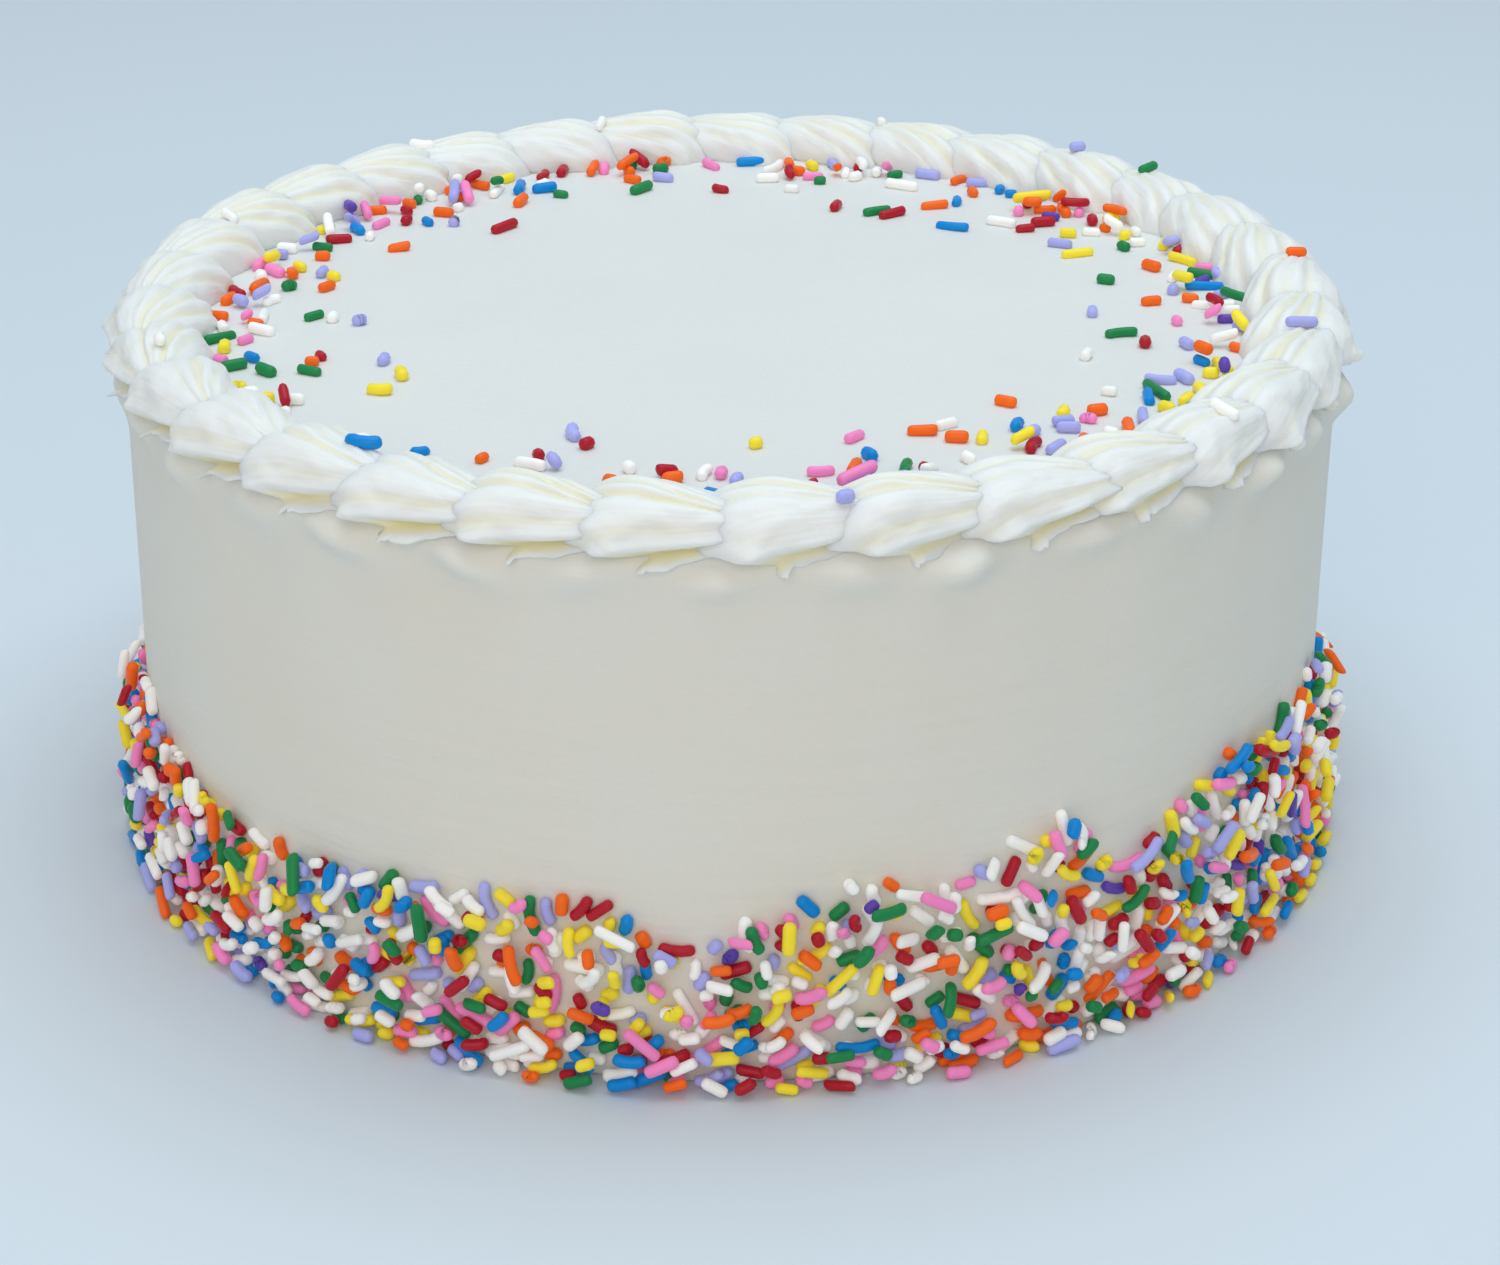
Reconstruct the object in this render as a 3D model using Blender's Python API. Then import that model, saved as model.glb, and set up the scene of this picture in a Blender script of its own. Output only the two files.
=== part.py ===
"""A round celebration cake, covered in smooth ivory buttercream.

A ring of piped shells runs round the top edge, anticlockwise as seen from above.
Sugar sprinkles lie on the lower side and on the top, just inside the shells.
Metres, +Z up, origin at the middle of the cake's flat base.
"""

import math

import bmesh
import bpy
import numpy as np
from mathutils import Matrix, Vector

MM = 0.001
GAP = 0.3 * MM

# The iced cake
CAKE_RADIUS = 104.3 * MM
TOP_HEIGHT = 90.0 * MM
TOP_EDGE_ROUND = 3.0 * MM
BASE_EDGE_ROUND = 1.0 * MM

# The piped border: sizes and bends of one shell before its own small unevenness
SHELL_COUNT = 33
CAKE_SIDES = 2 * SHELL_COUNT
FIRST_SHELL_ANGLE = math.radians(272.1)
BORDER_RADIUS = 98.0 * MM
SHELL_BEND_AT = 1.6 * MM
SHELL_BEND_RADIUS = 4.9 * MM
SHELL_BEND_SHARE = 0.45
SHELL_LEAN = math.radians(78.0)
SHELL_RUN = 17.0 * MM
SHELL_AXIS_HEIGHT = 0.6 * MM
SHELL_HALF_WIDTH = 8.4 * MM
SHELL_ABOVE = 7.6 * MM
SHELL_BELOW = 4.0 * MM
HEAD_SWELL = (0.15, 0.24, 0.20)
HEAD_NOTCH = 9.0 * MM
PINCH = (0.26, 0.34)
PINCH_POWER = 1.6
PINCH_OUT = 1.5 * MM
PINCH_UP = 3.2 * MM
RIDGE_TURN = 1.3
RIDGE_TURN_POWER = 1.9
FIN_CLIMB = 2.6 * MM
FIN_LEVELLING = (1.0, 0.6)
FIN_DELAY = 4.0 * MM

# Middle and spread of each valley and lip round a shell, in degrees, and its depth as
# a share of the shell's half size
VALLEYS = (
    (-14, 12, 0.30),
    (31, 13, 0.05),
    (92, 9, 0.055),
    (118, 9, 0.085),
    (146, 9, 0.085),
    (175, 10, 0.05),
)
LIPS = ((-36, 7, 0.15), (7, 5, 0.05))
SHELL_LABELS = (
    *(-70, -48, -36, -25, -14, -3, 7, 18, 31, 48),
    *(62, 77, 92, 105, 118, 132, 146, 160, 180, 205, 240),
)
SHELL_STATIONS = (0.0, 0.15, 0.3, 0.45, 0.72, 1.0)
SHELL_KEPT_SHARE = 0.455
HEAD_LABELS = (-95, -60, -36, -12, 7, 28, 48, 68, 90, 115, 140, 165, 200, 232)
HEAD_STATIONS = (-0.03, 0.15, 0.3, 0.45, 0.72)
HEAD_CLEARANCE = 0.35 * MM
SHELL_UNEVEN = {
    "size": (1.0, 0.06),
    "height": (1.0, 0.07),
    "yaw": (0.0, math.radians(4.0)),
    "out": (0.0, 0.6 * MM),
    "twist": (1.0, 0.25),
    "climb": (1.0, 0.35),
    "shift": (0.0, math.radians(7.0)),
}
SHELL_SEED = 410

# The sprinkles: round sugar rods
SPRINKLE_RADIUS = 1.0 * MM
SPRINKLE_LENGTHS = (4.4 * MM, 7.4 * MM)
SPRINKLE_CORNERS = (-40.0, 30.0, 90.0, 150.0, 220.0)
SPRINKLE_RAISED = 0.35 * MM
SIDE_SPRINKLES = 220
BAND_HEIGHT = 31.0 * MM
BAND_THINNING = 1.7
TOP_SPRINKLES = 64
TOP_RING = (70.0 * MM, 86.0 * MM)
PLACE_TRIALS = 12
SPRINKLE_SEED = 77

ICING = (0.86, 0.83, 0.74)
PIPED_ICING = (0.90, 0.88, 0.80)


def clear_scene():
    """Remove every object that is already in the scene."""
    for obj in list(bpy.data.objects):
        bpy.data.objects.remove(obj, do_unlink=True)


def buttercream(name, colour, roughness):
    """A soft, slightly glossy icing material."""
    material = bpy.data.materials.new(name)
    material.use_nodes = True
    shader = material.node_tree.nodes["Principled BSDF"]
    shader.inputs["Base Color"].default_value = (*colour, 1.0)
    shader.inputs["Roughness"].default_value = roughness
    shader.inputs["Metallic"].default_value = 0.0
    return material


def add_object(name, mesh, collection, material=None):
    """Put a mesh into the scene as a named object."""
    obj = bpy.data.objects.new(name, mesh)
    collection.objects.link(obj)
    if material is not None:
        mesh.materials.append(material)
    return obj


def lofted_mesh(name, first_pole, rings, last_pole):
    """Join a pole, a stack of equal rings and a second pole into one closed mesh."""
    rings = np.asarray(rings)
    count, around, _ = rings.shape
    verts = np.vstack([[first_pole], rings.reshape(-1, 3), [last_pole]])
    last = len(verts) - 1
    faces = []
    for j in range(around):
        k = (j + 1) % around
        faces.append((0, 1 + k, 1 + j))
        faces.append((last, last - around + j, last - around + k))
        for i in range(count - 1):
            low, high = 1 + i * around, 1 + (i + 1) * around
            faces.append((low + j, low + k, high + k))
            faces.append((low + j, high + k, high + j))
    mesh = bpy.data.meshes.new(name)
    mesh.from_pydata(verts.tolist(), [], faces)
    body = bmesh.new()
    body.from_mesh(mesh)
    bmesh.ops.recalc_face_normals(body, faces=body.faces)
    body.to_mesh(mesh)
    body.free()
    return mesh


def round_body_mesh(name, radius, height, base):
    """A turned cylinder from base to height with its top and bottom edge eased."""
    profile = (
        (radius - BASE_EDGE_ROUND, base),
        (radius, base + BASE_EDGE_ROUND),
        (radius, height - TOP_EDGE_ROUND),
        (radius - TOP_EDGE_ROUND, height),
    )
    around = np.linspace(0.0, 2.0 * math.pi, CAKE_SIDES, endpoint=False)
    rings = [
        np.column_stack([r * np.cos(around), r * np.sin(around), np.full_like(around, z)])
        for r, z in profile
    ]
    return lofted_mesh(name, (0.0, 0.0, base), rings, (0.0, 0.0, height))


def shell_traits(index):
    """The small unevenness of one shell, drawn from its own seed."""
    draw = np.random.default_rng(SHELL_SEED + index)
    return {
        trait: middle + spread * draw.uniform(-1.0, 1.0)
        for trait, (middle, spread) in SHELL_UNEVEN.items()
    }


def hump(angle, middle, spread):
    """A smooth hump of height 1 at a middle angle, given in degrees like its spread."""
    off = np.angle(np.exp(1j * (angle - math.radians(middle))))
    return np.exp(-((off / math.radians(spread)) ** 2))


def shell_points(along, label, traits, ridge_scale, swell):
    """Points of one shell in its own frame: along the ring, outwards, up.

    along runs from 0 at the open foot of the head to 1 at the end of the tail, and
    label is the ridge angle: 0 outwards, a quarter turn up, half a turn inwards.
    The star-shaped section first swings up round a bend below the head, from lying
    almost flat to standing upright, then runs straight on and is pinched to the tail.
    The inner ridges turn over the top towards the outside as they run to the tail.
    The ridges are shallow and round on top, deep and sharp fins on the outside; the
    valleys between the fins start later than the fins, and so leave free tips.
    Last, the whole shell is bowed inwards at both ends to follow the ring.
    """
    s, psi = np.meshgrid(along, label, indexing="ij")
    lean = SHELL_LEAN * np.maximum(1.0 - s / SHELL_BEND_SHARE, 0.0)
    run = np.maximum(s - SHELL_BEND_SHARE, 0.0) / (1.0 - SHELL_BEND_SHARE)
    inner = 0.5 - 0.5 * np.cos(psi)
    outer = (0.5 + 0.5 * np.cos(psi)) ** 2
    low = outer * np.clip(-np.sin(psi) / math.sin(math.radians(30.0)), 0.0, 1.0)
    turn = psi - RIDGE_TURN * traits["twist"] * inner * np.maximum(s, 0.0) ** RIDGE_TURN_POWER
    ridge = psi + traits["shift"] * (0.4 + 0.6 * inner)
    valley = ridge_scale * sum(v[2] * hump(ridge, v[0], v[1]) for v in VALLEYS)
    lip = sum(v[2] * hump(ridge, v[0], v[1]) for v in LIPS)
    reach = 1.0 - valley + lip
    grown, grown_at, grown_spread = HEAD_SWELL
    plump = 1.0 + grown * np.exp(-(((s - grown_at) / grown_spread) ** 2))
    half_width = SHELL_HALF_WIDTH * traits["size"] * plump
    half_height = np.where(np.sin(turn) > 0.0, SHELL_ABOVE * traits["height"], SHELL_BELOW)
    width = (half_width * reach + swell) * np.cos(turn)
    rise = (half_height * reach + swell) * np.sin(turn)
    arm = SHELL_BEND_RADIUS + rise
    late = FIN_DELAY * low + HEAD_NOTCH * valley
    t = SHELL_BEND_AT - arm * np.sin(lean) + SHELL_RUN * run + late * (1.0 - run)
    level = (FIN_LEVELLING[0] - FIN_LEVELLING[1] * low) * SHELL_BEND_RADIUS * (1.0 - np.cos(lean))
    climb = outer * (level + FIN_CLIMB * traits["climb"] * (s - 0.5))
    z = SHELL_AXIS_HEIGHT - SHELL_BEND_RADIUS + arm * np.cos(lean) + climb
    pinch = 1.0 - (PINCH[0] + PINCH[1] * np.sqrt(inner)) * run**PINCH_POWER
    width = PINCH_OUT + (width - PINCH_OUT) * pinch
    z = PINCH_UP + (z - PINCH_UP) * pinch
    bow = t**2 / (2.0 * BORDER_RADIUS)
    return np.stack([t, width - bow, z], axis=-1)


def shell_labels(angles, traits):
    """Labels at which a shell's ridges, moved by its own shift, have their edges."""
    psi = np.radians(angles)
    return psi - traits["shift"] * (0.7 - 0.3 * np.cos(psi))


def shell_mesh(name, index):
    """One shell as a closed mesh in its place on the ring."""
    traits = shell_traits(index)
    label = shell_labels(SHELL_LABELS, traits)
    grid = shell_points(np.array(SHELL_STATIONS), label, traits, 1.0, 0.0)
    return placed_mesh(name, index, traits, grid)


def head_mesh(name, index):
    """A plain envelope of a shell's head, a gap larger than its ridges.

    Its flat sides are pushed out by a little more than a facet's own rise.
    """
    traits = shell_traits(index)
    label = shell_labels(HEAD_LABELS, traits)
    swell = GAP + HEAD_CLEARANCE
    grid = shell_points(np.array(HEAD_STATIONS), label, traits, 0.0, swell)
    return placed_mesh(name, index, traits, grid)


def placed_mesh(name, index, traits, grid):
    """Close a shell's grid of points and put it in its place on the ring."""
    angle = FIRST_SHELL_ANGLE + 2.0 * math.pi * index / SHELL_COUNT
    place = (
        Matrix.Rotation(angle, 4, "Z")
        @ Matrix.Translation((BORDER_RADIUS + traits["out"], 0.0, TOP_HEIGHT))
        @ Matrix.Rotation(traits["yaw"], 4, "Z")
    )
    local = grid[..., [1, 0, 2]].reshape(-1, 3)
    world = np.array([place @ Vector(p) for p in local]).reshape(grid.shape)
    return lofted_mesh(name, world[0].mean(axis=0), world, world[-1].mean(axis=0))


def applied(obj):
    """Bake an object's modifiers into its mesh."""
    depsgraph = bpy.context.evaluated_depsgraph_get()
    mesh = bpy.data.meshes.new_from_object(obj.evaluated_get(depsgraph))
    old = obj.data
    obj.modifiers.clear()
    obj.data = mesh
    bpy.data.meshes.remove(old)


def cut(obj, cutter):
    """Take the cutter's volume out of an object."""
    boolean = obj.modifiers.new("cut", "BOOLEAN")
    boolean.operation = "DIFFERENCE"
    boolean.solver = "EXACT"
    boolean.object = cutter


def keep_largest_body(mesh):
    """Drop loose scraps that a cut leaves beside the main body."""
    body = bmesh.new()
    body.from_mesh(mesh)
    left = set(body.verts)
    groups = []
    while left:
        stack = [left.pop()]
        group = set(stack)
        while stack:
            for edge in stack.pop().link_edges:
                for vert in edge.verts:
                    if vert in left:
                        left.discard(vert)
                        group.add(vert)
                        stack.append(vert)
        groups.append(group)
    groups.sort(key=len)
    scraps = [vert for group in groups[:-1] for vert in group]
    bmesh.ops.delete(body, geom=scraps, context="VERTS")
    body.to_mesh(mesh)
    body.free()


def pipe_border(collection, material):
    """Every shell of the ring, fitted to the cake below and to the next shell's head.

    The cuts leave many flat slivers, so each shell is thinned to fewer triangles.
    """
    under = add_object(
        "cutter_cake",
        round_body_mesh("cutter_cake", CAKE_RADIUS + GAP, TOP_HEIGHT + GAP, 0.0),
        collection,
    )
    for index in range(SHELL_COUNT):
        name = f"shell_{index + 1:02d}"
        shell = add_object(name, shell_mesh(name, index), collection, material)
        following = add_object(
            "cutter_head",
            head_mesh("cutter_head", (index + 1) % SHELL_COUNT),
            collection,
        )
        cut(shell, following)
        cut(shell, under)
        thin = shell.modifiers.new("thin_flat_areas", "DECIMATE")
        thin.decimate_type = "COLLAPSE"
        thin.ratio = SHELL_KEPT_SHARE
        applied(shell)
        keep_largest_body(shell.data)
        bpy.data.objects.remove(following, do_unlink=True)
    bpy.data.objects.remove(under, do_unlink=True)


def sprinkle_mesh(name, centre, axis, up, length):
    """A sugar rod lying along axis, with its flat underside sunk in the icing."""
    side = axis.cross(up).normalized()
    turns = [math.radians(corner) for corner in SPRINKLE_CORNERS]
    rings = [
        [
            centre + axis * (end * 0.5 * length)
            + SPRINKLE_RADIUS * (math.cos(turn) * side + math.sin(turn) * up)
            for turn in turns
        ]
        for end in (-1.0, 1.0)
    ]
    mesh = bpy.data.meshes.new(name)
    body = bmesh.new()
    verts = [[body.verts.new(point) for point in ring] for ring in rings]
    count = len(turns)
    for k in range(count):
        after = (k + 1) % count
        body.faces.new((verts[0][k], verts[0][after], verts[1][after], verts[1][k]))
    body.faces.new(verts[0][::-1])
    body.faces.new(verts[1])
    bmesh.ops.recalc_face_normals(body, faces=body.faces)
    body.to_mesh(mesh)
    body.free()
    return mesh


def side_place(draw, length):
    """A rod on the cake's side, in a band that thins out upwards."""
    angle, turn = draw.uniform(0.0, 2.0 * math.pi), draw.uniform(0.0, math.pi)
    outward = Vector((math.cos(angle), math.sin(angle), 0.0))
    axis = Vector((-math.cos(turn) * outward.y, math.cos(turn) * outward.x, math.sin(turn)))
    foot = 0.5 * length * abs(axis.z) + SPRINKLE_RADIUS + GAP
    height = foot + BAND_HEIGHT * draw.uniform() ** BAND_THINNING
    centre = outward * (CAKE_RADIUS + SPRINKLE_RAISED)
    return centre + Vector((0.0, 0.0, height)), axis, outward


def top_place(draw, _length):
    """A rod on the cake's top, in the ring just inside the shells."""
    angle, turn = draw.uniform(0.0, 2.0 * math.pi, 2)
    radius = TOP_RING[0] + (TOP_RING[1] - TOP_RING[0]) * math.sqrt(draw.uniform())
    height = TOP_HEIGHT + SPRINKLE_RAISED
    centre = Vector((radius * math.cos(angle), radius * math.sin(angle), height))
    return centre, Vector((math.cos(turn), math.sin(turn), 0.0)), Vector((0.0, 0.0, 1.0))


def sprinkle_places():
    """Centre, axis, outward direction and length of every sprinkle, longest first.

    Each rod takes, of several random places, the one farthest from the rods before
    it, and is left out where even that one would touch another.
    """
    draw = np.random.default_rng(SPRINKLE_SEED)
    places = []
    for pick, count in ((side_place, SIDE_SPRINKLES), (top_place, TOP_SPRINKLES)):
        centres = np.full((1, 3), 1.0)
        for length in np.sort(draw.uniform(*SPRINKLE_LENGTHS, count))[::-1]:
            trials = [pick(draw, length) for _ in range(PLACE_TRIALS)]
            spots = np.array([trial[0] for trial in trials])
            space = np.linalg.norm(spots[:, None] - centres[None], axis=2).min(axis=1)
            best = int(space.argmax())
            if space[best] > length + GAP:
                centres = np.vstack([centres, spots[best]])
                places.append((*trials[best], float(length)))
    return places


def build_cake(collection, material):
    """The iced cake as one solid, with its sprinkles joined to it."""
    name = "iced_cake"
    cake = add_object(
        name, round_body_mesh(name, CAKE_RADIUS, TOP_HEIGHT, 0.0), collection, material
    )
    sprinkles = bpy.data.collections.new("sprinkles")
    bpy.context.scene.collection.children.link(sprinkles)
    for number, place in enumerate(sprinkle_places()):
        label = f"sprinkle_{number:03d}"
        add_object(label, sprinkle_mesh(label, *place), sprinkles)
    join = cake.modifiers.new("join_sprinkles", "BOOLEAN")
    join.operation = "UNION"
    join.operand_type = "COLLECTION"
    join.collection = sprinkles
    join.solver = "EXACT"
    applied(cake)
    for obj in list(sprinkles.objects):
        bpy.data.objects.remove(obj, do_unlink=True)
    bpy.data.collections.remove(sprinkles)


def main():
    clear_scene()
    collection = bpy.context.scene.collection
    build_cake(collection, buttercream("smooth_buttercream", ICING, 0.5))
    pipe_border(collection, buttercream("piped_buttercream", PIPED_ICING, 0.45))


main()
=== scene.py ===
"""A round celebration cake in ivory buttercream, with piped shells and sugar sprinkles.

The sections follow the cake as it is made: the smooth icing, the piped border, the
sprinkles, and last the studio that it stands in. Metres, +Z up.
"""

import math

import bpy
import numpy as np
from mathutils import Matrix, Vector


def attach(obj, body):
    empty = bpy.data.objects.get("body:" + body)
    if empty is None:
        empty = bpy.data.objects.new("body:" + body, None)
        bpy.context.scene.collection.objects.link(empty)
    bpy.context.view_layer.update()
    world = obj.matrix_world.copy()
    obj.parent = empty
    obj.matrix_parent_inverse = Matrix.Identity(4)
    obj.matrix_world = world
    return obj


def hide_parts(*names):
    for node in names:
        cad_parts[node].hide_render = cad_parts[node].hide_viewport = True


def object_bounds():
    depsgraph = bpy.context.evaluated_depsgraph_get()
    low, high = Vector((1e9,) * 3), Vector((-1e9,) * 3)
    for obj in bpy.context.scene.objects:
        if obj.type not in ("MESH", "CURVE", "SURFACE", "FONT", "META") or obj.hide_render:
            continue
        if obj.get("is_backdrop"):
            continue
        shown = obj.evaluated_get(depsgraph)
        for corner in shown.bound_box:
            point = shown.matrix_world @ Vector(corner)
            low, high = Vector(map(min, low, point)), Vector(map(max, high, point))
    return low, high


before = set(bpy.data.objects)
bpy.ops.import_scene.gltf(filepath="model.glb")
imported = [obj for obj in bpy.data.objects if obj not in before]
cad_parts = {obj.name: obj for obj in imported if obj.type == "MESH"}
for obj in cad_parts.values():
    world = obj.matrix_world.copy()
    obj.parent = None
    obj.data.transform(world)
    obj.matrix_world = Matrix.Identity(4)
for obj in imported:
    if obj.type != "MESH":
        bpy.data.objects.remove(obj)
cad_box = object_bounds()


# The iced cake
# A tall round layer cake under a coat of ivory buttercream, drawn smooth with a warm
# palette knife. It keeps a soft top edge and small swellings where the piping above
# pressed the coat out.
MM = 0.001
CAKE_RADIUS = 104.3 * MM
TOP_HEIGHT = 90.0 * MM
BASE_EDGE_ROUND = 1.0 * MM
TOP_EDGE_ROUND = 3.5 * MM
CAKE_SIDES = 560
SIDE_STEPS = 84
TOP_STEPS = 36
SLOW_WAVES = ((2, 9.0), (3, 24.0), (5, 14.0), (8, 33.0), (13, 21.0), (21, 47.0))
SIDE_UNEVEN = 0.16 * MM
SIDE_FROM, SIDE_FADE = 0.92, 0.08
FOOT_FADE = 4.0 * MM
TOP_UNEVEN = 0.2 * MM
TOP_FROM, TOP_FADE = 0.98, 0.02
TOP_WAVES = (0.5, 0.85)
SWELLING_SEED = 58
SWELLING_BACK = (0.2, 0.45)
SWELLING_BELOW = (3.6, 5.0)
SWELLING_ACROSS = (4.0, 7.5)
SWELLING_TALL = (2.2, 3.4)
SWELLING_TILT = (-0.3, 0.15)
SWELLING_PROUD = (1.8, 3.8)
DRAPE_DEPTH = 14.0 * MM
DRAPE_PROUD = 0.22 * MM
SHELL_COUNT = 33
FIRST_SHELL_ANGLE = math.radians(272.1)


def arc(middle, radius, start, end, count):
    """Points of a circle's arc in the plane of radius and height, from start to end."""
    turn = np.linspace(start, end, count)
    return np.column_stack([middle[0] + radius * np.cos(turn), middle[1] + radius * np.sin(turn)])


def straight(start, end, count):
    """Points along a line, without its two ends."""
    share = np.linspace(0.0, 1.0, count + 2)[1:-1, None]
    return np.array(start) + share * (np.array(end) - np.array(start))


def cake_profile():
    """Half outline of the cake: out under it, up its side, over the edge and in."""
    r, h, low, high = CAKE_RADIUS, TOP_HEIGHT, BASE_EDGE_ROUND, TOP_EDGE_ROUND
    return np.vstack([
        straight((0.0, 0.0), (r - low, 0.0), 3),
        arc((r - low, low), low, -0.5 * math.pi, 0.0, 4),
        straight((r, low), (r, h - high), SIDE_STEPS),
        arc((r - high, h - high), high, 0.0, 0.5 * math.pi, 7),
        straight((r - high, h), (0.0, h), TOP_STEPS),
    ])


def slow_waves(seed, angle, height, amount):
    """A soft unevenness: a sum of waves round and up the cake, of falling size."""
    draw = np.random.default_rng(seed)
    total = np.zeros(np.broadcast(angle, height).shape)
    for around, up in SLOW_WAVES:
        shift = draw.uniform(0.0, 2.0 * math.pi, 2)
        wave = np.sin(around * angle + shift[0]) * np.cos(up * height + shift[1])
        total = total + wave / (1.0 + 0.35 * around)
    return amount * total


def swellings(angle, height):
    """Low rounded bumps just under the piping, and a fainter drape that dies out below it.

    Each bump lies a little back from its shell's middle and is proud * exp(-(off /
    across)^2 - (lean / tall)^2), where off is the way round the cake and lean the way up.
    The SWELLING values are ranges: back in shells, tilt as a slope, the rest in millimetres.
    """
    draw = np.random.default_rng(SWELLING_SEED)
    total = np.zeros(np.broadcast(angle, height).shape)
    for number in range(SHELL_COUNT):
        place = number - draw.uniform(*SWELLING_BACK)
        middle = FIRST_SHELL_ANGLE + 2.0 * math.pi * place / SHELL_COUNT
        level = TOP_HEIGHT - draw.uniform(*SWELLING_BELOW) * MM
        across, tall = draw.uniform(*SWELLING_ACROSS) * MM, draw.uniform(*SWELLING_TALL) * MM
        tilt = draw.uniform(*SWELLING_TILT)
        proud = draw.uniform(*SWELLING_PROUD) * MM
        off = np.angle(np.exp(1j * (angle - middle))) * CAKE_RADIUS
        lean = height - level - tilt * off
        total = total + proud * np.exp(-((off / across) ** 2) - (lean / tall) ** 2)
    drape = np.exp(-np.maximum(TOP_HEIGHT - height, 0.0) / DRAPE_DEPTH)
    return total + DRAPE_PROUD * drape * (np.sin(33.0 * angle + 1.0) + np.sin(19.0 * angle))


def cake_surface():
    """The outline turned round the axis, its side pushed out by waves and swellings.

    Radius and height come from the outline; the side's push fades to nothing over the
    round edges, and the top rises and falls by a fraction of a millimetre, but for its
    middle, which is flat.
    """
    outline = cake_profile()
    angle = np.linspace(0.0, 2.0 * math.pi, CAKE_SIDES, endpoint=False)[None, :]
    radius, height = outline[:, :1], outline[:, 1:]
    on_side = np.clip((radius - SIDE_FROM * CAKE_RADIUS) / (SIDE_FADE * CAKE_RADIUS), 0.0, 1.0)
    on_side = on_side * np.clip(height / FOOT_FADE, 0.0, 1.0)
    swelling = on_side * swellings(angle, height)
    push = swelling + on_side * slow_waves(11, angle, height, SIDE_UNEVEN)
    on_top = np.clip((height - TOP_FROM * TOP_HEIGHT) / (TOP_FADE * TOP_HEIGHT), 0.0, 1.0)
    on_top = on_top * np.clip(1.0 - radius / (TOP_WAVES[1] * CAKE_RADIUS), 0.0, 1.0)
    on_top = on_top * np.clip(radius / (TOP_WAVES[0] * CAKE_RADIUS), 0.0, 1.0) ** 2
    lift = on_top * slow_waves(12, 2.0 * angle, 3.0 * radius, TOP_UNEVEN)
    rings = np.stack([
        (radius + push) * np.cos(angle),
        (radius + push) * np.sin(angle),
        (height + lift) * np.ones_like(angle),
    ], axis=-1)
    return rings, swelling


def closed_piece(name, rings, finish, slot, **marks):
    """A closed piece from a grid of rings, with a pole at each end, faces outwards.

    Neighbouring rings are joined by four-sided faces and each end by a fan to the
    mean of its ring. marks are values at the grid's points, kept as attributes.
    """
    count, around = rings.shape[:2]
    points = np.vstack([rings.reshape(-1, 3), rings[0].mean(axis=0), rings[-1].mean(axis=0)])
    here = np.arange(count * around).reshape(count, around)
    beside = np.roll(here, -1, axis=1)
    quads = np.stack([here[:-1], beside[:-1], beside[1:], here[1:]], axis=-1).reshape(-1, 4)
    first, last = count * around, count * around + 1
    fans = np.vstack([
        np.column_stack([beside[0], here[0], np.full(around, first)]),
        np.column_stack([here[-1], beside[-1], np.full(around, last)]),
    ])
    corners = points[quads]
    volume = np.einsum("ij,ij->", corners[:, 0], np.cross(corners[:, 1], corners[:, 2]))
    volume += np.einsum("ij,ij->", corners[:, 0], np.cross(corners[:, 2], corners[:, 3]))
    if volume < 0.0:
        quads, fans = quads[:, ::-1], fans[:, ::-1]
    mesh = bpy.data.meshes.new(name)
    mesh.from_pydata(points.tolist(), [], quads.tolist() + fans.tolist())
    for mark, values in marks.items():
        ends = [values[0].mean(), values[-1].mean()]
        layer = mesh.attributes.new(mark, "FLOAT", "POINT")
        layer.data.foreach_set("value", np.append(values.ravel(), ends).astype(np.float32))
    return finished_piece(name, mesh, finish)


def finished_piece(name, mesh, finish):
    """Shade a mesh smooth, give it its material and let it ride on the cake."""
    mesh.polygons.foreach_set("use_smooth", np.ones(len(mesh.polygons), dtype=bool))
    mesh.materials.append(finish)
    mesh.update()
    piece = bpy.data.objects.new(name, mesh)
    bpy.context.scene.collection.objects.link(piece)
    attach(piece, "root")
    return piece


class Socket:
    """A shader value: an arithmetic sign used on it adds the Math node for that sign."""

    def __init__(self, finish, source):
        self.finish = finish
        self.source = source

    def maths(self, operation, *values):
        sockets = dict(enumerate(values))
        return self.finish.add("ShaderNodeMath", {"operation": operation}, sockets)

    def __add__(self, other):
        return self.maths("ADD", self, other)

    def __mul__(self, other):
        return self.maths("MULTIPLY", self, other)

    __radd__ = __add__
    __rmul__ = __mul__


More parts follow.
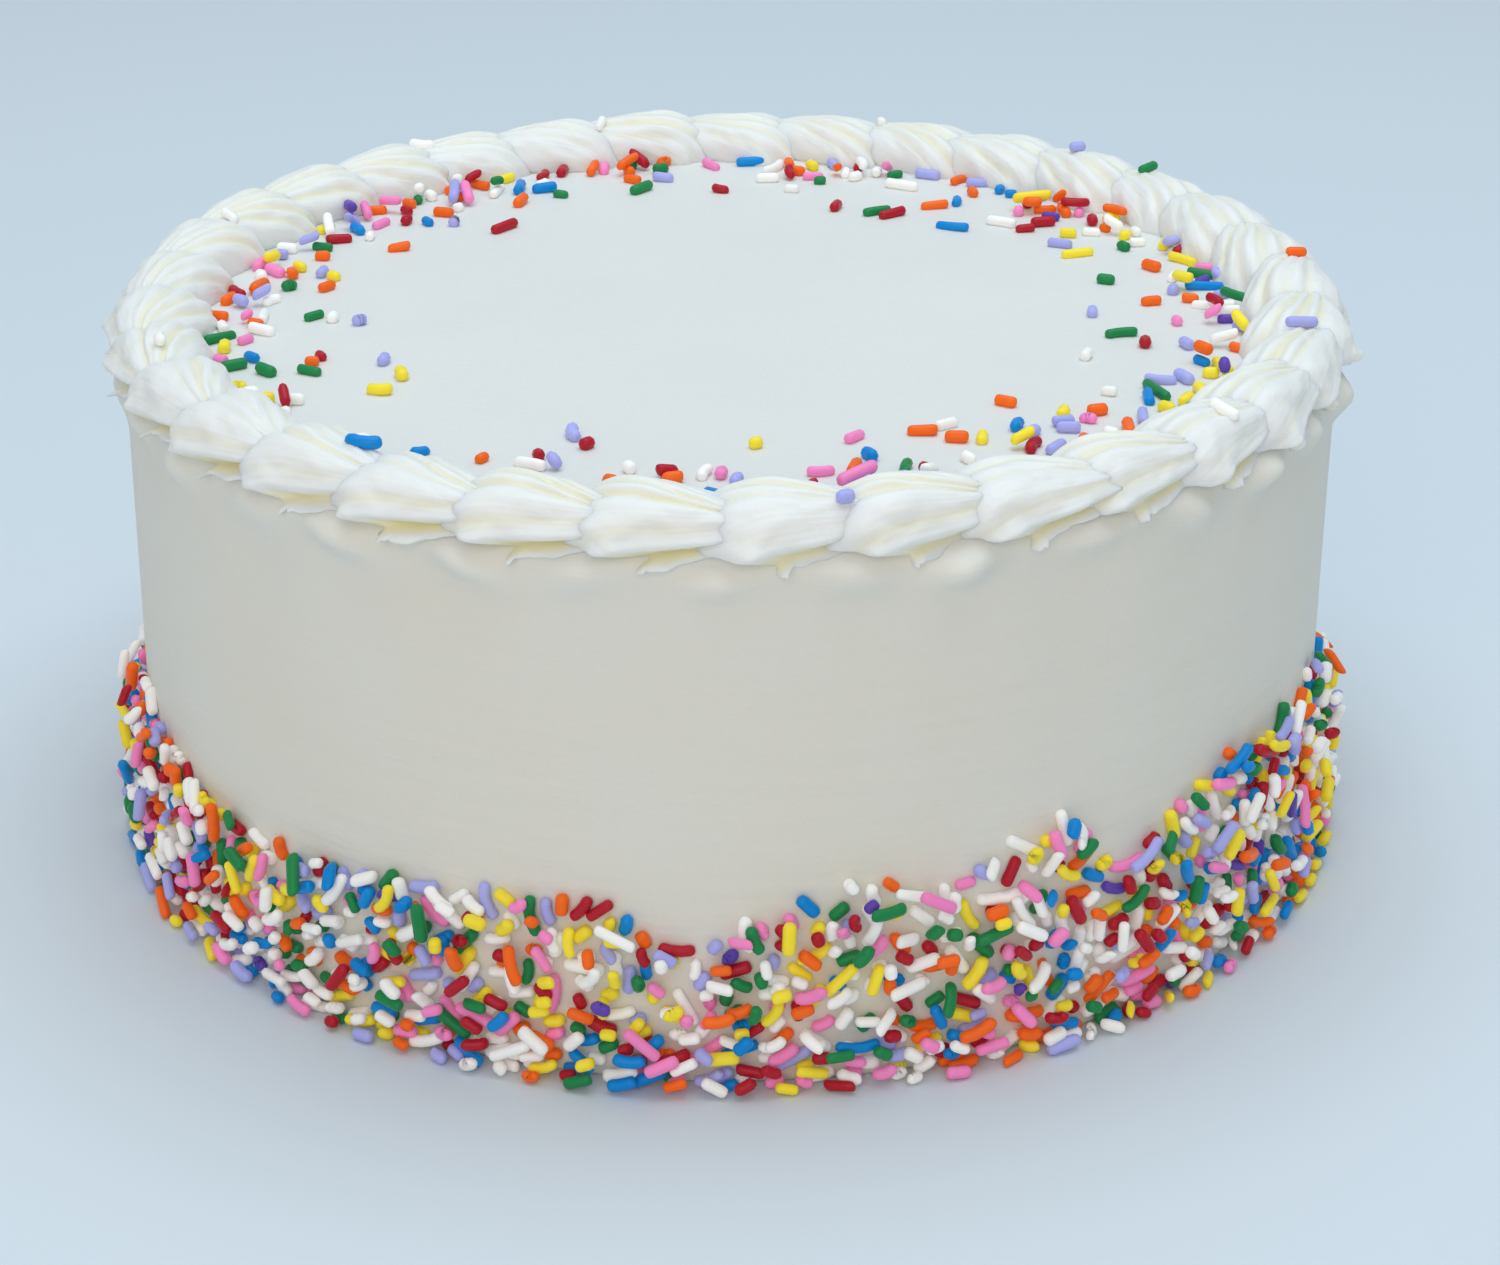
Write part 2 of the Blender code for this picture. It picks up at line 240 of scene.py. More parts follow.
class Finish:
    """A Principled material under construction."""

    def __init__(self, name, **constants):
        self.material = bpy.data.materials.new(name)
        self.material.use_nodes = True
        self.tree = self.material.node_tree
        self.shader = self.tree.nodes["Principled BSDF"]
        for label, value in constants.items():
            self.shader.inputs[label.replace("_", " ")].default_value = value

    def feed(self, socket, value):
        """Link a Socket into a node's input, or set the input to a plain value."""
        if isinstance(value, Socket):
            self.tree.links.new(value.source, socket)
        else:
            socket.default_value = value

    def add(self, kind, settings, sockets, output=0):
        """Add one node: its type, its settings, then its inputs by name or number."""
        node = self.tree.nodes.new(kind)
        for name, value in settings.items():
            setattr(node, name, value)
        for key, value in sockets.items():
            self.feed(node.inputs[key], value)
        return Socket(self, node.outputs[output])

    def place(self, scale):
        """Object coordinates, stretched by a scale along each axis."""
        where = self.add("ShaderNodeTexCoord", {}, {}, output="Object")
        return self.add("ShaderNodeMapping", {}, {"Vector": where, "Scale": scale})

    def noise(self, scale, detail, stretch=(1.0, 1.0, 1.0)):
        """Cloudy noise from 0 to 1; scale counts its blobs in a metre."""
        sockets = {"Vector": self.place(stretch), "Scale": scale, "Detail": detail}
        return self.add("ShaderNodeTexNoise", {}, sockets)

    def blend(self, share, first, second):
        """A colour between two, by a share from 0 to 1; 6 and 7 are the node's colours."""
        sockets = {"Factor": share, 6: first, 7: second}
        return self.add("ShaderNodeMix", {"data_type": "RGBA"}, sockets, output=2)

    def span(self, value, low, high):
        """Stretch a value so that low becomes 0 and high becomes 1, and clip it there."""
        sockets = {"Value": value, "From Min": low, "From Max": high}
        return self.add("ShaderNodeMapRange", {"clamp": True}, sockets)

    def bump(self, height, distance):
        """Raise the surface by a height from 0 to 1 times a distance."""
        normal = self.add("ShaderNodeBump", {}, {"Height": height, "Distance": distance})
        self.feed(self.shader.inputs["Normal"], normal)


# Painted light: top and side are one buttercream, tinted cooler on the top for the cool light from
# above and warmer on the side for the warm light there.
TOP_ICING_PAINTED_COOL_LIGHT = (0.775, 0.775, 0.735, 1.0)
SIDE_ICING = (0.79, 0.775, 0.69, 1.0)
SIDE_ICING_WARM = (0.79, 0.76, 0.655, 1.0)
# Painted highlight: a lighter ivory for the swellings, standing in for light on their tops.
SWELLING_PAINTED_HIGHLIGHT = (0.83, 0.82, 0.735, 1.0)


def smooth_buttercream():
    """Ivory buttercream: faint warm clouding, knife streaks round the side, fine pits; a cooler top
    and a warmer side as painted light, and a lighter ivory on the swellings as painted highlight.
    """
    finish = Finish(
        "smooth_buttercream",
        Subsurface_Weight=0.15,
        Subsurface_Radius=(1.0, 0.8, 0.5),
        Subsurface_Scale=0.002,
    )
    clouds = finish.span(finish.noise(28.0, 3.0), 0.35, 0.7)
    where = finish.add("ShaderNodeTexCoord", {}, {}, output="Object")
    height = finish.add("ShaderNodeSeparateXYZ", {}, {"Vector": where}, output="Z")
    on_top = finish.span(height, TOP_HEIGHT - TOP_EDGE_ROUND, TOP_HEIGHT - 0.3 * MM)
    swelling = finish.add("ShaderNodeAttribute", {"attribute_name": "swelling"}, {}, output="Fac")
    side = finish.blend(clouds, SIDE_ICING, SIDE_ICING_WARM)
    # Painted highlight: the side turns lighter over the swellings.
    side = finish.blend(finish.span(swelling, 0.3 * MM, 3.0 * MM), side, SWELLING_PAINTED_HIGHLIGHT)
    # Painted light: the top is blended to its cooler tint.
    colour = finish.blend(on_top, side, TOP_ICING_PAINTED_COOL_LIGHT)
    finish.feed(finish.shader.inputs["Base Color"], colour)
    streaks = finish.noise(60.0, 3.0, stretch=(0.5, 0.5, 5.0))
    grain = finish.noise(900.0, 2.0)
    finish.feed(finish.shader.inputs["Roughness"], 0.5 + 0.12 * clouds)
    finish.bump(0.75 * streaks + 0.25 * grain, 0.35 * MM)
    return finish.material


rings, swelling = cake_surface()
iced_cake = closed_piece(
    "smooth_icing", rings, smooth_buttercream(), "smooth_buttercream", swelling=swelling
)
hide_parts("iced_cake")


# The piped border
# Thirty-three shells of buttercream, piped one after another round the top edge with
# a star nozzle. Each swells into a high round head and is drawn down to a tail, on
# which the next head sits; the nozzle's teeth leave ridges, and fins on the outside.
BORDER_RADIUS = 98.0 * MM
SHELL_BEND_AT = 1.6 * MM
SHELL_BEND_RADIUS = 4.9 * MM
SHELL_BEND_SHARE = 0.45
SHELL_LEAN = math.radians(78.0)
SHELL_RUN = 17.0 * MM
SHELL_AXIS_HEIGHT = 0.6 * MM
SHELL_HALF_WIDTH = 8.4 * MM
HEAD_SWELL = (0.15, 0.24, 0.20)
HEAD_ROUND = (0.12, 0.12)
HEAD_NOTCH = 9.0 * MM
SHELL_ABOVE = 7.6 * MM
SHELL_BELOW = 4.0 * MM
PINCH = (0.26, 0.34)
PINCH_POWER = 1.6
PINCH_OUT = 1.5 * MM
PINCH_UP = 3.2 * MM
RIDGE_TURN = 1.3
RIDGE_TURN_POWER = 1.9
RIDGE_WANDER = 0.16
FIN_CLIMB = 2.6 * MM
FIN_LEVELLING = (1.0, 0.6)
FIN_DELAY = 4.0 * MM
VALLEY_CUT = (0.5, 1.5)
SHALLOW_AT_HEAD = (0.65, 0.6)
VALLEYS = (
    (-14, 12, 0.30),
    (27, 11, 0.045),
    (80, 8, 0.075),
    (106, 9, 0.09),
    (134, 9, 0.085),
    (163, 10, 0.06),
)
LIPS = ((-36, 7, 0.15, 2.2), (7, 5, 0.05, 1.0))
TORN_WAVES = (9.0, 17.0, 31.0, 53.0)
TORN_FROM = 0.15
FIN_LOW_ANGLE = math.radians(30.0)
# How a valley's depth becomes painted shade: the pale yellow put into the valleys.
VALLEY_SHADE_FALLOFF = (0.12, 2.0)
LUMPS = (
    (3, 5, 0.018),
    (5, 9, 0.015),
    (8, 16, 0.012),
    (13, 23, 0.006),
    (31, 7, 0.0022),
    (47, 9, 0.0022),
)
SHELL_UNEVEN = {
    "size": (1.0, 0.06),
    "height": (1.0, 0.07),
    "yaw": (0.0, math.radians(4.0)),
    "out": (0.0, 0.6 * MM),
    "twist": (1.0, 0.25),
    "climb": (1.0, 0.35),
    "shift": (0.0, math.radians(7.0)),
}
SHELL_SEED = 410
SHELL_STATIONS = 64
LABEL_SPANS = ((-60, 50, 60), (50, 70, 8), (70, 190, 62), (190, 300, 14))


def shell_traits(index):
    """The small unevenness of one shell, drawn from its own seed."""
    draw = np.random.default_rng(SHELL_SEED + index)
    return {
        trait: middle + spread * draw.uniform(-1.0, 1.0)
        for trait, (middle, spread) in SHELL_UNEVEN.items()
    }


def hump(angle, middle, spread):
    """A smooth hump of height 1 at a middle angle, given in degrees like its spread."""
    off = np.angle(np.exp(1j * (angle - math.radians(middle))))
    return np.exp(-((off / math.radians(spread)) ** 2))


def ridge_labels():
    """Ridge angles of a shell's points, closest where its ridges are sharpest.

    LABEL_SPANS gives each stretch's start and end in degrees, and its points.
    """
    spans = [np.linspace(start, end, count, endpoint=False) for start, end, count in LABEL_SPANS]
    return np.radians(np.concatenate(spans))


def shell_grid(index, traits):
    """Points of one shell: along the ring, outwards and up, and how deep each valley is, for the
    valleys' painted shade.

    along runs from 0 at the open foot of the head to 1 at the end of the tail, and
    label is the ridge angle: 0 outwards, a quarter turn up, half a turn inwards.
    The star-shaped section is 1 less a hump for each of VALLEYS, plus one for each of
    LIPS, all given as ridge angle and spread in degrees and depth as a share; a lip's
    last value is how ragged it is. LUMPS are waves round and along, and their height.
    The section first swings up round a bend below the head, from lying almost flat to
    standing upright, then runs straight on and is drawn in to the tail by
    1 - (a + b sqrt(inner)) run^p, more on the inside.
    The inner ridges turn over the top towards the outside as they run to the tail.
    The ridges are shallow and round at the head and deepen along it. Outside they are
    sharp fins that start late, so that their tips stand free, with edges torn by short
    waves. The whole bends along the ring by t^2 / 2R.
    """
    along = np.linspace(0.0, 1.0, SHELL_STATIONS)
    label = ridge_labels()
    s, psi = np.meshgrid(along, label, indexing="ij")
    lean = SHELL_LEAN * np.maximum(1.0 - s / SHELL_BEND_SHARE, 0.0)
    run = np.maximum(s - SHELL_BEND_SHARE, 0.0) / (1.0 - SHELL_BEND_SHARE)
    inner = 0.5 - 0.5 * np.cos(psi)
    outer = (0.5 + 0.5 * np.cos(psi)) ** 2
    turn = psi - RIDGE_TURN * traits["twist"] * inner * s**RIDGE_TURN_POWER
    ridge = psi + traits["shift"] * (0.4 + 0.6 * inner)
    ridge = ridge + RIDGE_WANDER * inner * np.sin(6.0 * s + 40.0 * traits["shift"])
    draw = np.random.default_rng(SHELL_SEED + 100 + index)
    torn = np.zeros_like(s)
    for waves in TORN_WAVES:
        shift = draw.uniform(0.0, 2.0 * math.pi, 2)
        torn += np.sin(waves * s + shift[0] + 2.0 * np.sin(2.0 * psi + shift[1])) / waves**0.8
    torn *= np.minimum(s / TORN_FROM, 1.0)
    lumps = np.zeros_like(s)
    for around, up, amount in LUMPS:
        shift = draw.uniform(0.0, 2.0 * math.pi, 2)
        lumps += amount * np.sin(around * psi + shift[0] + 1.5 * np.sin(up * s + shift[1]))
    cuts = draw.uniform(*VALLEY_CUT, len(VALLEYS))
    shallow, shallow_share = SHALLOW_AT_HEAD
    cuts = cuts[:, None, None] * (1.0 - shallow * inner * np.maximum(1.0 - s / shallow_share, 0.0))
    valley = sum(cut * v[2] * hump(ridge, v[0], v[1]) for cut, v in zip(cuts, VALLEYS))
    lip = sum(
        depth * hump(ridge, middle, spread) * (1.0 + rag * torn)
        for middle, spread, depth, rag in LIPS
    )
    reach = 1.0 - valley + lip + lumps
    swell, swell_at, swell_spread = HEAD_SWELL
    start, start_share = HEAD_ROUND
    plump = 1.0 + swell * np.exp(-(((s - swell_at) / swell_spread) ** 2))
    plump = plump - start * outer * np.maximum(1.0 - s / start_share, 0.0) ** 2
    half_width = SHELL_HALF_WIDTH * traits["size"] * plump
    half_height = np.where(np.sin(turn) > 0.0, SHELL_ABOVE * traits["height"], SHELL_BELOW)
    width = half_width * reach * np.cos(turn)
    rise = half_height * reach * np.sin(turn)
    arm = SHELL_BEND_RADIUS + rise
    low = outer * np.clip(-np.sin(psi) / math.sin(FIN_LOW_ANGLE), 0.0, 1.0)
    late = FIN_DELAY * low + HEAD_NOTCH * valley
    t = SHELL_BEND_AT - arm * np.sin(lean) + SHELL_RUN * run + late * (1.0 - run)
    level = (FIN_LEVELLING[0] - FIN_LEVELLING[1] * low) * SHELL_BEND_RADIUS * (1.0 - np.cos(lean))
    climb = outer * (level + FIN_CLIMB * traits["climb"] * (s - 0.5))
    z = SHELL_AXIS_HEIGHT - SHELL_BEND_RADIUS + arm * np.cos(lean) + climb
    pinch = 1.0 - (PINCH[0] + PINCH[1] * np.sqrt(inner)) * run**PINCH_POWER
    width = PINCH_OUT + (width - PINCH_OUT) * pinch
    z = PINCH_UP + (z - PINCH_UP) * pinch
    bow = t**2 / (2.0 * BORDER_RADIUS)
    # Painted shade: a share by valley depth, which the piped finish colours pale yellow.
    valley_shade = valley / (VALLEY_SHADE_FALLOFF[0] + valley + VALLEY_SHADE_FALLOFF[1] * np.abs(lip))
    return t, width - bow, z, valley_shade


def shell_surface(index):
    """One shell in its place: its own frame turned by its yaw, then round the ring."""
    traits = shell_traits(index)
    t, out, up, valley = shell_grid(index, traits)
    yaw, angle = traits["yaw"], FIRST_SHELL_ANGLE + 2.0 * math.pi * index / SHELL_COUNT
    x = BORDER_RADIUS + traits["out"] + out * math.cos(yaw) - t * math.sin(yaw)
    y = out * math.sin(yaw) + t * math.cos(yaw)
    rings = np.stack([
        x * math.cos(angle) - y * math.sin(angle),
        x * math.sin(angle) + y * math.cos(angle),
        TOP_HEIGHT + up,
    ], axis=-1)
    return rings, valley


PIPED_ICING = (0.85, 0.855, 0.82, 1.0)
# Painted shade: the pale yellow of the deep valleys.
PIPED_ICING_VALLEY_SHADE = (0.87, 0.82, 0.56, 1.0)


def piped_buttercream():
    """Whipped buttercream: white on the ridges, with pale yellow painted shade down in the valleys."""
    finish = Finish(
        "piped_buttercream",
        Subsurface_Weight=0.45,
        Subsurface_Radius=(1.0, 0.85, 0.6),
        Subsurface_Scale=0.004,
    )
    valley = finish.add("ShaderNodeAttribute", {"attribute_name": "valley"}, {}, output="Fac")
    mottle = finish.noise(120.0, 3.0)
    # Painted shade: the deeper valleys blend to pale yellow.
    deep = finish.span(valley + 0.35 * mottle, 0.32, 0.85)
    colour = finish.blend(deep, PIPED_ICING, PIPED_ICING_VALLEY_SHADE)
    finish.feed(finish.shader.inputs["Base Color"], colour)
    finish.feed(finish.shader.inputs["Roughness"], 0.42 + 0.12 * mottle)
    finish.bump(0.6 * finish.noise(420.0, 3.0) + 0.4 * mottle, 0.3 * MM)
    return finish.material


piping = piped_buttercream()
for index in range(SHELL_COUNT):
    node = f"shell_{index + 1:02d}"
    rings, valley = shell_surface(index)
    shell = closed_piece(f"piped_{node}", rings, piping, "piped_buttercream", valley=valley)
    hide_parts(node)


# The sprinkles
# Short extruded sugar rods in nine colours, some of them bent, strewn on soft icing.
# They are pressed on by hand round the foot, two rods deep low down and sparse higher
# up, and scattered in loose clusters on the top, just inside the piping.
ROD_RADIUS = (0.86 * MM, 1.10 * MM)
ROD_LENGTH = (2.0 * MM, 8.6 * MM)
ROD_LENGTH_LEAN = (1.3, 3.1)
ROD_SUNK = 0.25 * MM
ROD_BEND = 0.9 * MM
BENT_SHARE = 0.4
ROD_CLOSE = 0.86
ROD_CORNERS = 8
ROD_END = ((0.0, 0.42), (0.22, 0.82), (0.7, 1.0))
ROD_TILT = 0.05
MARK_REACH = 0.85
MARKS = 5
TILT_SHARE = 0.7
STREW_SEED = 2711
SIDE_LAYERS = ((1400, 16, 1.2), (800, 10, 2.4), (650, 10, 4.0))
TOP_LAYERS = ((210, 8), (75, 6))
KINDS = {
    "white": (0.33, 0.15, (0.97, 0.97, 0.93)),
    "orange": (0.13, 0.16, (0.98, 0.15, 0.01)),
    "yellow": (0.12, 0.12, (0.98, 0.80, 0.04)),
    "green": (0.10, 0.10, (0.012, 0.24, 0.07)),
    "blue": (0.11, 0.12, (0.0, 0.25, 0.68)),
    "pink": (0.10, 0.12, (0.98, 0.27, 0.58)),
    "dark_red": (0.10, 0.11, (0.46, 0.010, 0.026)),
    "lavender": (0.07, 0.11, (0.42, 0.44, 0.86)),
    "purple": (0.008, 0.01, (0.12, 0.06, 0.42)),
}
ON_SIDE, ON_TOP, DYE = 0, 1, 2


def drawn_rods(draw, count, zone):
    """Length, radius, bend, shade, kind and turn of a number of rods for a zone.

    KINDS gives each dye's share on the side, its share on the top, and its colour.
    """
    shares = np.array([kind[zone] for kind in KINDS.values()])
    bent = draw.uniform(size=count) < BENT_SHARE
    return {
        "length": ROD_LENGTH[0] + (ROD_LENGTH[1] - ROD_LENGTH[0]) * draw.beta(*ROD_LENGTH_LEAN, count),
        "radius": draw.uniform(*ROD_RADIUS, count),
        "bend": np.where(bent, draw.uniform(0.3, 1.0, count) * ROD_BEND, 0.0),
        "shade": draw.uniform(0.0, 1.0, count),
        "kind": draw.choice(len(KINDS), count, p=shares / shares.sum()),
        "turn": draw.uniform(0.0, 2.0 * math.pi, count),
    }


def along_rod(rods, steps):
    """Points on the sheet along each rod's bent middle line, for steps from -1 to 1."""
    heading = np.stack([np.cos(rods["turn"]), np.sin(rods["turn"])], axis=-1)[:, None]
    aside = np.stack([-heading[..., 1], heading[..., 0]], axis=-1)
    run = 0.5 * rods["length"][:, None, None] * steps[..., None]
    bow = rods["bend"][:, None, None] * (steps[..., None] ** 2 - 0.4)
    return rods["spot"][:, None] + run * heading + bow * aside


def strewn(draw, count, trials, spots, zone, under=None):
    """Strew rods on a flat sheet, none overlapping another of the same layer.

    spots draws trial places on the sheet, trials of them for each rod wanted. A rod is
    kept where none of the marks along it comes within a rod's thickness of those of a
    rod already down. A rod of an upper layer is lifted by the sphere's height
    sqrt(thick^2 - gap^2) over each mark under it, and tilted to lie across them.
    """
    rods = drawn_rods(draw, count * trials, zone)
    rods["spot"] = spots(draw, rods)
    steps = np.linspace(-MARK_REACH, MARK_REACH, MARKS)
    marks = along_rod(rods, np.tile(steps, (count * trials, 1)))
    thick = ROD_RADIUS[0] + ROD_RADIUS[1]
    kept = np.empty(0, dtype=int)
    for number in range(count * trials):
        near = kept[np.abs(rods["spot"][kept] - rods["spot"][number]).max(axis=1) < ROD_LENGTH[1]]
        gaps = marks[near][:, :, None] - marks[number]
        if near.size == 0 or (gaps**2).sum(axis=-1).min() > (ROD_CLOSE * thick) ** 2:
            kept = np.append(kept, number)
        if kept.size == count:
            break
    rods = {trait: values[kept] for trait, values in rods.items()}
    rods["marks"] = marks[kept]
    rods["lift"], rods["tilt"] = np.zeros(kept.size), draw.normal(0.0, ROD_TILT, kept.size)
    arms = 0.5 * rods["length"][:, None] * steps
    if under is not None:
        gaps = np.linalg.norm(rods["marks"][:, :, None] - under["marks"].reshape(-1, 2), axis=-1)
        stack = under["rise"].ravel() + np.sqrt(np.maximum(thick**2 - gaps**2, 0.0))
        need = np.where(gaps < thick, stack, 0.0).max(axis=2)
        rods["tilt"] += TILT_SHARE * (need * arms).sum(axis=1) / (arms**2).sum(axis=1)
        rods["lift"] = (need - rods["tilt"][:, None] * arms).max(axis=1)
    rods["rise"] = rods["lift"][:, None] + rods["tilt"][:, None] * arms
    return rods


def joined(*groups):
    """One group of rods from several."""
    return {trait: np.concatenate([group[trait] for group in groups]) for trait in groups[0]}


def rod_rings(rods, to_space):
    """Rings of points round every rod, carried from the flat sheet into space.

    Each rod is a round section on a bent line, drawn in at both ends: ROD_END gives how
    far in from the tip, and how wide, both in radii. to_space takes the two places on
    the sheet and the height over it.
    """
    ends = np.array(ROD_END)
    inset = rods["radius"][:, None] * ends[:, 0] * 2.0 / rods["length"][:, None]
    middle = np.tile((-0.3, 0.3), (len(inset), 1))
    steps = np.hstack([inset - 1.0, middle, 1.0 - inset[:, ::-1]])
    girth = np.concatenate([ends[:, 1], (1.0, 1.0), ends[::-1, 1]]) * rods["radius"][:, None]
    line = along_rod(rods, steps)
    along = np.gradient(line, axis=1)
    along /= np.linalg.norm(along, axis=-1, keepdims=True)
    aside = np.stack([-along[..., 1], along[..., 0]], axis=-1)
    round_turn = np.linspace(0.0, 2.0 * math.pi, ROD_CORNERS, endpoint=False)
    sheet = line[:, :, None] + girth[..., None, None] * np.cos(round_turn)[:, None] * aside[:, :, None]
    over = rods["radius"] - ROD_SUNK + rods["lift"]
    over = over[:, None] + 0.5 * (rods["length"] * rods["tilt"])[:, None] * steps
    over = over[..., None] + girth[..., None] * np.sin(round_turn)
    return to_space(sheet[..., 0], sheet[..., 1], over)


def side_to_space(across, up, over):
    """The side's sheet: across runs round the cake, up is height, over is outwards."""
    radius, angle = CAKE_RADIUS + over, across / CAKE_RADIUS
    return np.stack([radius * np.cos(angle), radius * np.sin(angle), up], axis=-1)


def top_to_space(x, y, over):
    """The top's sheet lies in x and y, and over is height above the top."""
    return np.stack([x, y, TOP_HEIGHT + over], axis=-1)


BAND_TOP = (
    (0, 27), (20, 25), (70, 27), (120, 25), (160, 25), (180, 27), (190, 31), (197, 34),
    (212, 28.5), (226, 27), (245, 30), (259, 31), (265, 25), (272, 27.5), (280, 36), (287, 32),
    (294, 36), (300, 40), (305, 27), (313, 35), (320, 38.5), (331, 37), (340, 40), (350, 33),
)
LYING_BELOW = 14.0 * MM
LYING_LEAST = 0.35


def band_spots(spread):
    """Trial places round the foot: the height is top * u^spread, so spread crowds it low.

    BAND_TOP gives places round the cake in degrees, and the band's height there in
    millimetres. Low down the rods lie flatter, and none dips under the foot.
    """

    def spots(draw, rods):
        count = rods["length"].size
        angle = draw.uniform(0.0, 2.0 * math.pi, count)
        places, heights = np.array(BAND_TOP).T
        top = MM * np.interp(np.degrees(angle), places, heights, period=360.0)
        height = top * draw.uniform(size=count) ** spread
        upright = np.clip(height / LYING_BELOW, LYING_LEAST, 1.0)
        rods["turn"] = np.angle(np.exp(2j * rods["turn"])) * 0.5 * upright
        foot = rods["radius"] + 0.5 * rods["length"] * np.abs(np.sin(rods["turn"]))
        foot = foot + 0.6 * rods["bend"]
        return np.column_stack([angle * CAKE_RADIUS, np.maximum(height, foot)])

    return spots


TOP_CLUSTERS = (
    (36.0, 9.0, 1.5),
    (60.0, 10.0, 1.6),
    (78.0, 5.0, 0.8),
    (104.0, 8.0, 0.9),
    (130.0, 11.0, 1.8),
    (152.0, 8.0, 1.0),
    (178.0, 9.0, 1.7),
    (205.0, 6.0, 0.7),
    (330.0, 14.0, 1.2),
    (0.0, 12.0, 1.6),
    (264.0, 14.0, 1.2),
    (290.0, 10.0, 1.8),
    (311.0, 7.0, 1.4),
    (270.0, 90.0, 0.8),
)
TOP_OUTER = 89.0 * MM
TOP_DEPTH = 7.0 * MM
TOP_REACH = 26.0 * MM


def top_spots(draw, rods):
    """Trial places on the top: by cluster round the ring, and crowding to the piping.

    TOP_CLUSTERS gives each cluster's place and spread in degrees, and its weight.
    """
    count = rods["length"].size
    middle, spread, weight = np.array(TOP_CLUSTERS).T
    pick = draw.choice(len(middle), count, p=weight / weight.sum())
    angle = np.radians(draw.normal(middle[pick], spread[pick]))
    inwards = np.minimum(draw.exponential(TOP_DEPTH, count), TOP_REACH)
    return (TOP_OUTER - inwards)[:, None] * np.column_stack([np.cos(angle), np.sin(angle)])


PERCHED = (
    (283, 70), (127, 95), (46, 100), (37, 90), (318, 75), (200, 120), (162, 150),
    (75, 120), (345, 130), (234, 140), (8, 110), (104, 140),
)
PERCHED_LONGEST = 5.5 * MM
PERCHED_SEED = 31
PERCHED_STRETCH = 1.1
PERCHED_REACH = (0.1, 0.65)


def shell_spots():
    """Foot, and the ways along, aside and out, of a few spots on the shells.

    Each spot is given by its place round the cake and its ridge angle, in degrees. It
    is a point of the nearest shell's grid. along runs to the next stations, out is the
    cross product of along and the way round, and aside is square to both.
    """
    pitch = 2.0 * math.pi / SHELL_COUNT
    labels = ridge_labels()
    frames = []
    for place, ridge in PERCHED:
        number, share = divmod((math.radians(place) - FIRST_SHELL_ANGLE) % (2.0 * math.pi), pitch)
        rings, _ = shell_surface(int(number))
        reach = np.clip(share / pitch * PERCHED_STRETCH, *PERCHED_REACH)
        station = SHELL_BEND_SHARE + (1.0 - SHELL_BEND_SHARE) * reach
        station = int(round(station * (SHELL_STATIONS - 1)))
        corner = int(np.abs(labels - math.radians(ridge)).argmin())
        along = rings[station + 2, corner] - rings[station - 2, corner]
        around = rings[station, corner + 3] - rings[station, corner - 3]
        along = along / np.linalg.norm(along)
        out = np.cross(along, around)
        out = out / np.linalg.norm(out)
        out = out * np.sign(out @ (rings[station, corner] - rings[station].mean(axis=0)))
        frames.append((rings[station, corner], along, np.cross(out, along), out))
    return np.array(frames)[:, :, None, None].swapaxes(0, 1)


def perched_rods(draw):
    """Rods that fell on the shells, one at each spot, lying any way round."""
    rods = drawn_rods(draw, len(PERCHED), ON_TOP)
    for trait in ("lift", "tilt"):
        rods[trait] = np.zeros(len(PERCHED))
    rods["spot"] = np.zeros((len(PERCHED), 2))
    rods["length"] = np.minimum(rods["length"], PERCHED_LONGEST)
    return rods


def perch_to_space(x, y, over):
    """Each perched rod has a small flat sheet of its own, laid on its shell."""
    foot, along, aside, out = shell_spots()
    return foot + x[..., None] * along + y[..., None] * aside + over[..., None] * out


def rods_piece(kind, rings, shades):
    """All rods of one kind as one piece, each closed by a flat tip at either end."""
    count, stations, corners = rings.shape[:3]
    here = np.arange(count * stations * corners).reshape(count, stations, corners)
    beside = np.roll(here, -1, axis=2)
    quads = np.stack([here[:, :-1], beside[:, :-1], beside[:, 1:], here[:, 1:]], axis=-1)
    tips = np.vstack([here[:, 0, ::-1], here[:, -1]])
    name = f"sprinkles_{kind}"
    mesh = bpy.data.meshes.new(name)
    mesh.from_pydata(rings.reshape(-1, 3).tolist(), [], quads.reshape(-1, 4).tolist() + tips.tolist())
    layer = mesh.attributes.new("shade", "FLOAT", "POINT")
    layer.data.foreach_set("value", np.repeat(shades, stations * corners).astype(np.float32))
    return finished_piece(name, mesh, sugar(kind))


def sugar(kind):
    """Dyed sugar: each rod a little lighter or duller, with a faint waxy mottle, and a faint painted
    glow in its own colour for the sugar's gloss and translucency.
    """
    colour = np.array(KINDS[kind][DYE])
    # Painted glow: a weak emission in the rod's own colour stands in for gloss and translucency.
    finish = Finish(f"sugar_{kind}", Specular_IOR_Level=0.2, Emission_Strength=0.07)
    shade = finish.add("ShaderNodeAttribute", {"attribute_name": "shade"}, {}, output="Fac")
    mottle = finish.noise(600.0, 2.0)
    share = finish.span(0.7 * shade + 0.5 * mottle, 0.1, 1.1)
    pale = (*np.minimum(1.02 * colour + 0.004, 1.0), 1.0)
    full = (*(0.9 * colour), 1.0)
    dye = finish.blend(share, full, pale)
    finish.feed(finish.shader.inputs["Base Color"], dye)
    # The dye colour also feeds the painted glow.
    finish.feed(finish.shader.inputs["Emission Color"], dye)
    finish.feed(finish.shader.inputs["Roughness"], 0.26 + 0.12 * mottle)
    finish.bump(mottle, 0.08 * MM)
    return finish.material


